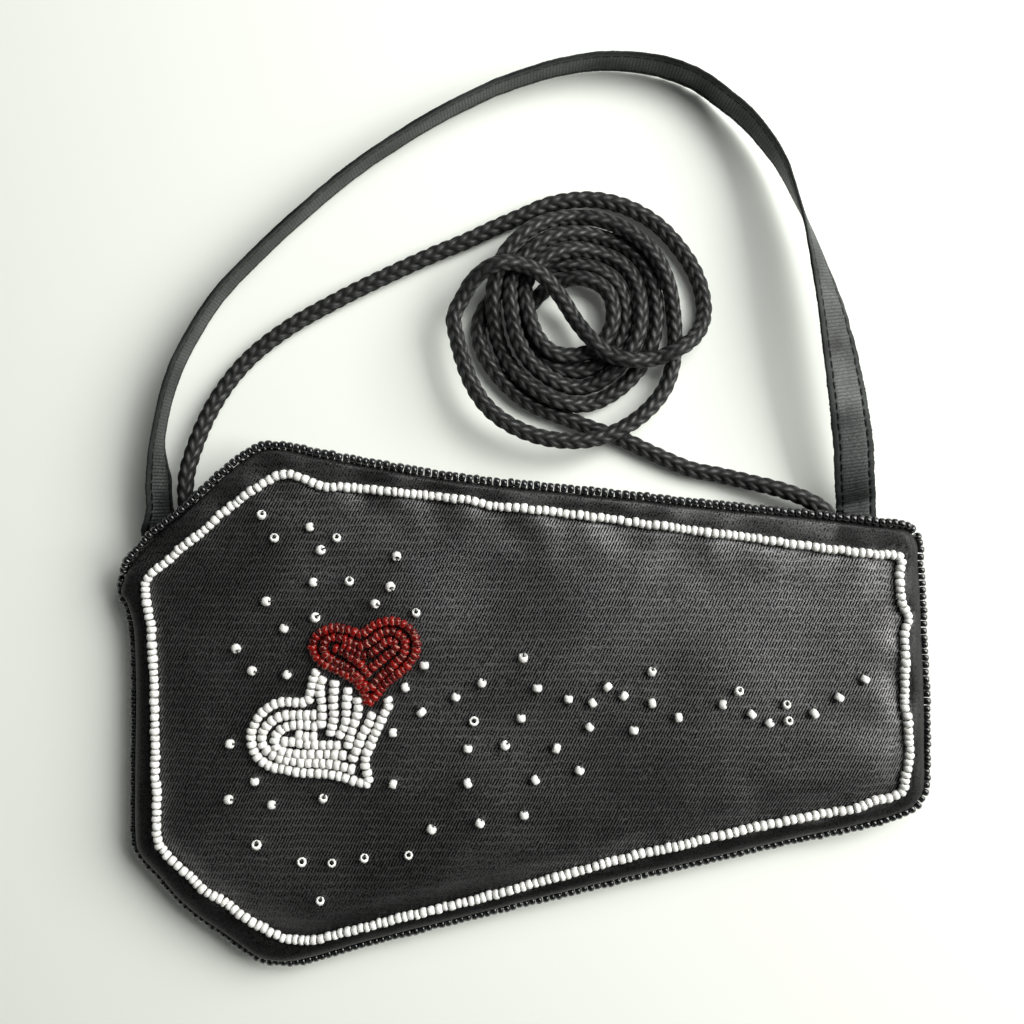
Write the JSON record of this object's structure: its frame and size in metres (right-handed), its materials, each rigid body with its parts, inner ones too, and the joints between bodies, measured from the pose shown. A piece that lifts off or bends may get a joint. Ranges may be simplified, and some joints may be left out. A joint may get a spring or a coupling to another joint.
{
  "type": "beaded crossbody purse",
  "caption": "Flat six-sided padded satin purse with glass bead trim, two bead hearts, a ribbon handle and a coiled cord strap.",
  "frame": {"origin": "middle of the purse, on the outer face of its back, which rests on the table", "axes": "+X from the wide head end to the narrow foot end, +Y towards the mouth and the handle, +Z out of the beaded front"},
  "size_m": [0.1886, 0.2102, 0.0135],
  "materials": {
    "black_satin": "black satin with a fine twill weave and a soft sheen",
    "black_lining": "plain matte black lining cloth",
    "white_wadding": "soft white wadding",
    "black_glass_beads": "glossy opaque black glass",
    "white_glass_beads": "opaque white glass, soft gloss",
    "red_glass_beads": "transparent dark red glass, bright highlights",
    "black_ribbon": "black ribbon with fine cross ribs and stitched edges",
    "black_cord": "braided black cord, dull sheen",
    "nickel_steel": "satin nickel plate"
  },
  "bodies": {
    "purse": {"back_cover": "black_satin", "front_cover": "black_satin", "back_lining": "black_lining", "front_lining": "black_lining", "back_padding": "white_wadding", "front_padding": "white_wadding", "lip_bead_edging": "black_glass_beads", "seam_bead_edging": "black_glass_beads", "white_bead_border": "white_glass_beads", "white_heart_row_1": "white_glass_beads", "white_heart_row_2": "white_glass_beads", "white_heart_row_3": "white_glass_beads", "white_heart_row_4": "white_glass_beads", "scattered_bead_01": "white_glass_beads", "scattered_bead_02": "white_glass_beads", "scattered_bead_03": "white_glass_beads", "scattered_bead_04": "white_glass_beads", "scattered_bead_05": "white_glass_beads", "scattered_bead_06": "white_glass_beads", "scattered_bead_07": "white_glass_beads", "scattered_bead_08": "white_glass_beads", "scattered_bead_09": "white_glass_beads", "scattered_bead_10": "white_glass_beads", "scattered_bead_11": "white_glass_beads", "scattered_bead_12": "white_glass_beads", "scattered_bead_13": "white_glass_beads", "scattered_bead_14": "white_glass_beads", "scattered_bead_15": "white_glass_beads", "scattered_bead_16": "white_glass_beads", "scattered_bead_17": "white_glass_beads", "scattered_bead_18": "white_glass_beads", "scattered_bead_19": "white_glass_beads", "scattered_bead_20": "white_glass_beads", "scattered_bead_21": "white_glass_beads", "scattered_bead_22": "white_glass_beads", "scattered_bead_23": "white_glass_beads", "scattered_bead_24": "white_glass_beads", "scattered_bead_25": "white_glass_beads", "scattered_bead_26": "white_glass_beads", "scattered_bead_27": "white_glass_beads", "scattered_bead_28": "white_glass_beads", "red_heart_row_1": "red_glass_beads", "red_heart_row_2": "red_glass_beads", "red_heart_row_3": "red_glass_beads", "handle_root_left": "black_ribbon", "handle_root_right": "black_ribbon", "handle_tab_left": "black_ribbon", "handle_tab_right": "black_ribbon", "cord_left": "black_cord", "cord_coil": "black_cord", "cord_right": "black_cord", "cord_tail_left": "black_cord", "cord_tail_right": "black_cord", "snap_stud": "nickel_steel", "snap_socket": "nickel_steel"},
    "handle": {"ribbon_handle": "black_ribbon"}
  },
  "joints": [
    {"name": "handle_swing", "type": "hinge", "parent": "purse", "child": "handle", "pos_m": [-0.0846, 0.04827, 0.0054], "axis": [0.9991, -0.0423, 0], "range_deg": [0, 110], "deforming": ["handle_root_left", "handle_root_right"]}
  ]
}
